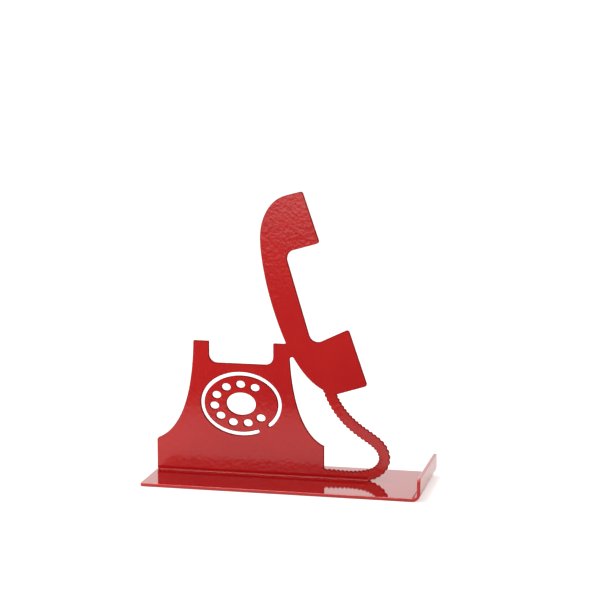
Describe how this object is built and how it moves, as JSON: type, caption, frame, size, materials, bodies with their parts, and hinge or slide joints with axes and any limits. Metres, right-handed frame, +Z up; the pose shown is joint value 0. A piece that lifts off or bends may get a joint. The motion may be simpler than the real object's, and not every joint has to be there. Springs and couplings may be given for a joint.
{
  "type": "desk phone stand",
  "caption": "Sheet-steel desk stand for a smartphone: a retro rotary telephone silhouette stands on a flat base whose turned-up lip holds the phone's edge.",
  "frame": {"origin": "on the table, under the middle of the base plate", "axes": "+X along the base towards the lip, +Y from the front to the back, +Z up"},
  "size_m": [0.1, 0.038, 0.1035],
  "materials": {
    "base_coating": "glossy red powder coat with a slight orange peel",
    "panel_coating": "glossy red powder coat with a leathery orange peel"
  },
  "bodies": {
    "root": {"base_plate": "base_coating", "telephone_panel": "panel_coating"}
  },
  "joints": []
}
